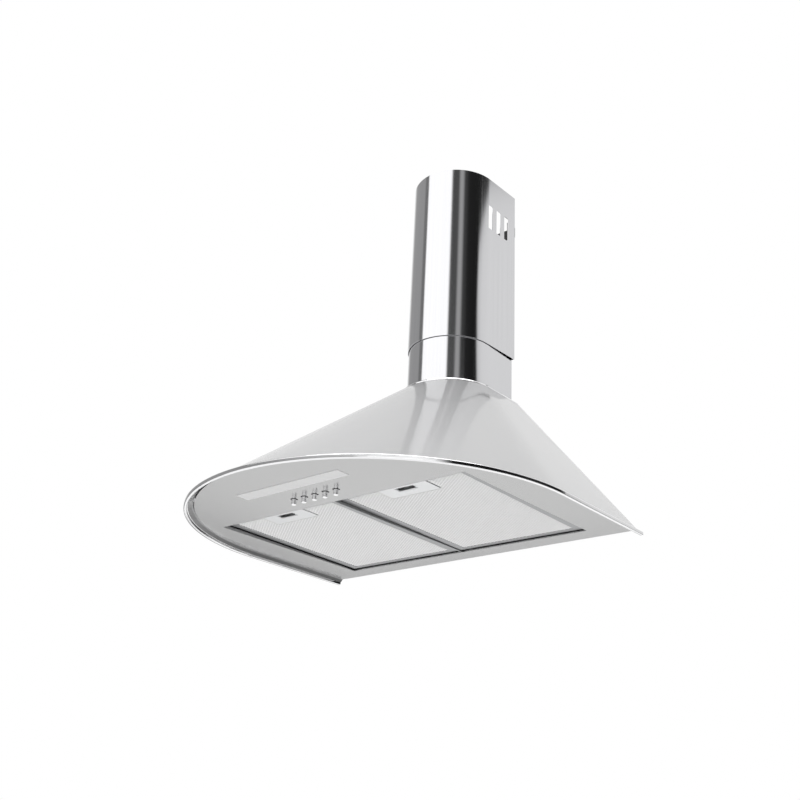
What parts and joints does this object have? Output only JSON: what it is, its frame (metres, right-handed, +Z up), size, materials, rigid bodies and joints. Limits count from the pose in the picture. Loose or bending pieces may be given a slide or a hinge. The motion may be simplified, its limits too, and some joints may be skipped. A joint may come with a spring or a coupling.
{
  "type": "wall-mounted chimney range hood",
  "caption": "Wall-mounted kitchen range hood: curved conical canopy, hinged grease filters, lamp, push buttons and a telescopic round-fronted chimney.",
  "frame": {"origin": "on the wall, at the centre of the four screw holes in the back plate", "axes": "+Z up along the chimney, +Y into the wall, +X to the right of somebody who faces the hood"},
  "size_m": [0.6, 0.51, 0.669],
  "materials": {
    "canopy_paint": "satin light grey powder coat",
    "bright_trim": "polished rolled bead",
    "panel_paint": "satin mid grey paint",
    "chimney_steel": "bright brushed stainless steel",
    "zinc_sheet": "zinc plated steel",
    "lens_plastic": "frosted white lens, unlit",
    "lamp_plastic": "white moulding",
    "board": "white solder resist",
    "switch_plastic": "black moulding",
    "chrome_key": "polished",
    "spring_wire": "spring steel wire",
    "filter_frame": "satin folded aluminium",
    "filter_mesh": "expanded aluminium mesh",
    "nylon": "natural nylon",
    "blower_plastic": "dark grey moulding",
    "duct_plastic": "black moulding",
    "bronze": "sintered bronze",
    "motor_iron": "laminated iron",
    "rubber": "soft black rubber",
    "gland_plastic": "grey nylon",
    "cable_sheath": "light grey sheath"
  },
  "bodies": {
    "hood": {"canopy_shell": "canopy_paint", "rim_bead": "bright_trim", "top_collar": "bright_trim", "back_plate": "zinc_sheet", "underside_panel": "panel_paint", "panel_clips": "zinc_sheet", "filter_divider": "panel_paint", "lamp_lens": "lens_plastic", "lamp_housing": "lamp_plastic", "led_board": "board", "led_driver": "lamp_plastic", "switch_base": "switch_plastic", "switch_cover": "switch_plastic", "chimney_lower": "chimney_steel", "chimney_guides": "nylon", "blower_housing_left": "blower_plastic", "blower_housing_right": "blower_plastic", "motor_housing": "zinc_sheet", "motor_bearings": "bronze", "motor_stator": "motor_iron", "motor_bracket": "zinc_sheet", "motor_grommets": "rubber", "outlet_adapter": "duct_plastic", "adapter_screws": "zinc_sheet", "damper_pin": "zinc_sheet", "terminal_box": "switch_plastic", "terminal_lid": "switch_plastic", "cable_gland": "gland_plastic", "capacitor": "lamp_plastic", "capacitor_clip": "zinc_sheet", "motor_cable": "cable_sheath", "lamp_cable": "cable_sheath", "switch_cable": "cable_sheath", "button_spring_1": "spring_wire", "button_spring_2": "spring_wire", "button_spring_3": "spring_wire", "button_spring_4": "spring_wire", "button_spring_5": "spring_wire"},
    "chimney_extension": {"chimney_upper": "chimney_steel", "chimney_bracket": "zinc_sheet"},
    "filter_left": {"filter_frame_left": "filter_frame", "filter_mesh_left": "filter_mesh", "latch_plate_left": "filter_frame", "latch_spring_left": "spring_wire"},
    "latch_left": {"filter_latch_left": "filter_frame"},
    "filter_right": {"filter_frame_right": "filter_frame", "filter_mesh_right": "filter_mesh", "latch_plate_right": "filter_frame", "latch_spring_right": "spring_wire"},
    "latch_right": {"filter_latch_right": "filter_frame"},
    "push_button_1": {"button_1": "chrome_key"},
    "push_button_2": {"button_2": "chrome_key"},
    "push_button_3": {"button_3": "chrome_key"},
    "push_button_4": {"button_4": "chrome_key"},
    "push_button_5": {"button_5": "chrome_key"},
    "blower_wheel": {"impeller": "blower_plastic", "motor_rotor": "motor_iron", "motor_shaft": "zinc_sheet"},
    "front_flap": {"damper_flap_front": "duct_plastic"},
    "rear_flap": {"damper_flap_rear": "duct_plastic"}
  },
  "joints": [
    {"name": "chimney_slide", "type": "slide", "parent": "hood", "child": "chimney_extension", "axis": [0, 0, 1], "range_m": [-0.065, 0.14]},
    {"name": "filter_left_hinge", "type": "hinge", "parent": "hood", "child": "filter_left", "pos_m": [-0.114, -0.045, -0.1327], "axis": [1, 0, 0], "range_deg": [0, 75]},
    {"name": "latch_left_slide", "type": "slide", "parent": "filter_left", "child": "latch_left", "axis": [0, 1, 0], "range_m": [0, 0.004], "stiffness_N_per_m": 300, "springref_m": -0.002, "deforming": ["latch_spring_left"]},
    {"name": "filter_right_hinge", "type": "hinge", "parent": "hood", "child": "filter_right", "pos_m": [0.114, -0.045, -0.1327], "axis": [1, 0, 0], "range_deg": [0, 75]},
    {"name": "latch_right_slide", "type": "slide", "parent": "filter_right", "child": "latch_right", "axis": [0, 1, 0], "range_m": [0, 0.004], "stiffness_N_per_m": 300, "springref_m": -0.002, "deforming": ["latch_spring_right"]},
    {"name": "button_1_press", "type": "slide", "parent": "hood", "child": "push_button_1", "axis": [0, 0, 1], "range_m": [0, 0.0035], "stiffness_N_per_m": 250, "springref_m": -0.002, "deforming": ["button_spring_1"]},
    {"name": "button_2_press", "type": "slide", "parent": "hood", "child": "push_button_2", "axis": [0, 0, 1], "range_m": [0, 0.0035], "stiffness_N_per_m": 250, "springref_m": -0.002, "deforming": ["button_spring_2"]},
    {"name": "button_3_press", "type": "slide", "parent": "hood", "child": "push_button_3", "axis": [0, 0, 1], "range_m": [0, 0.0035], "stiffness_N_per_m": 250, "springref_m": -0.002, "deforming": ["button_spring_3"]},
    {"name": "button_4_press", "type": "slide", "parent": "hood", "child": "push_button_4", "axis": [0, 0, 1], "range_m": [0, 0.0035], "stiffness_N_per_m": 250, "springref_m": -0.002, "deforming": ["button_spring_4"]},
    {"name": "button_5_press", "type": "slide", "parent": "hood", "child": "push_button_5", "axis": [0, 0, 1], "range_m": [0, 0.0035], "stiffness_N_per_m": 250, "springref_m": -0.002, "deforming": ["button_spring_5"]},
    {"name": "wheel_spin", "type": "hinge", "parent": "hood", "child": "blower_wheel", "pos_m": [0, -0.129, -0.012], "axis": [1, 0, 0], "continuous": true},
    {"name": "front_flap_hinge", "type": "hinge", "parent": "hood", "child": "front_flap", "pos_m": [0, -0.074, 0.148], "axis": [-1, 0, 0], "range_deg": [0, 80]},
    {"name": "rear_flap_hinge", "type": "hinge", "parent": "hood", "child": "rear_flap", "pos_m": [0, -0.074, 0.148], "axis": [1, 0, 0], "range_deg": [0, 80]}
  ]
}
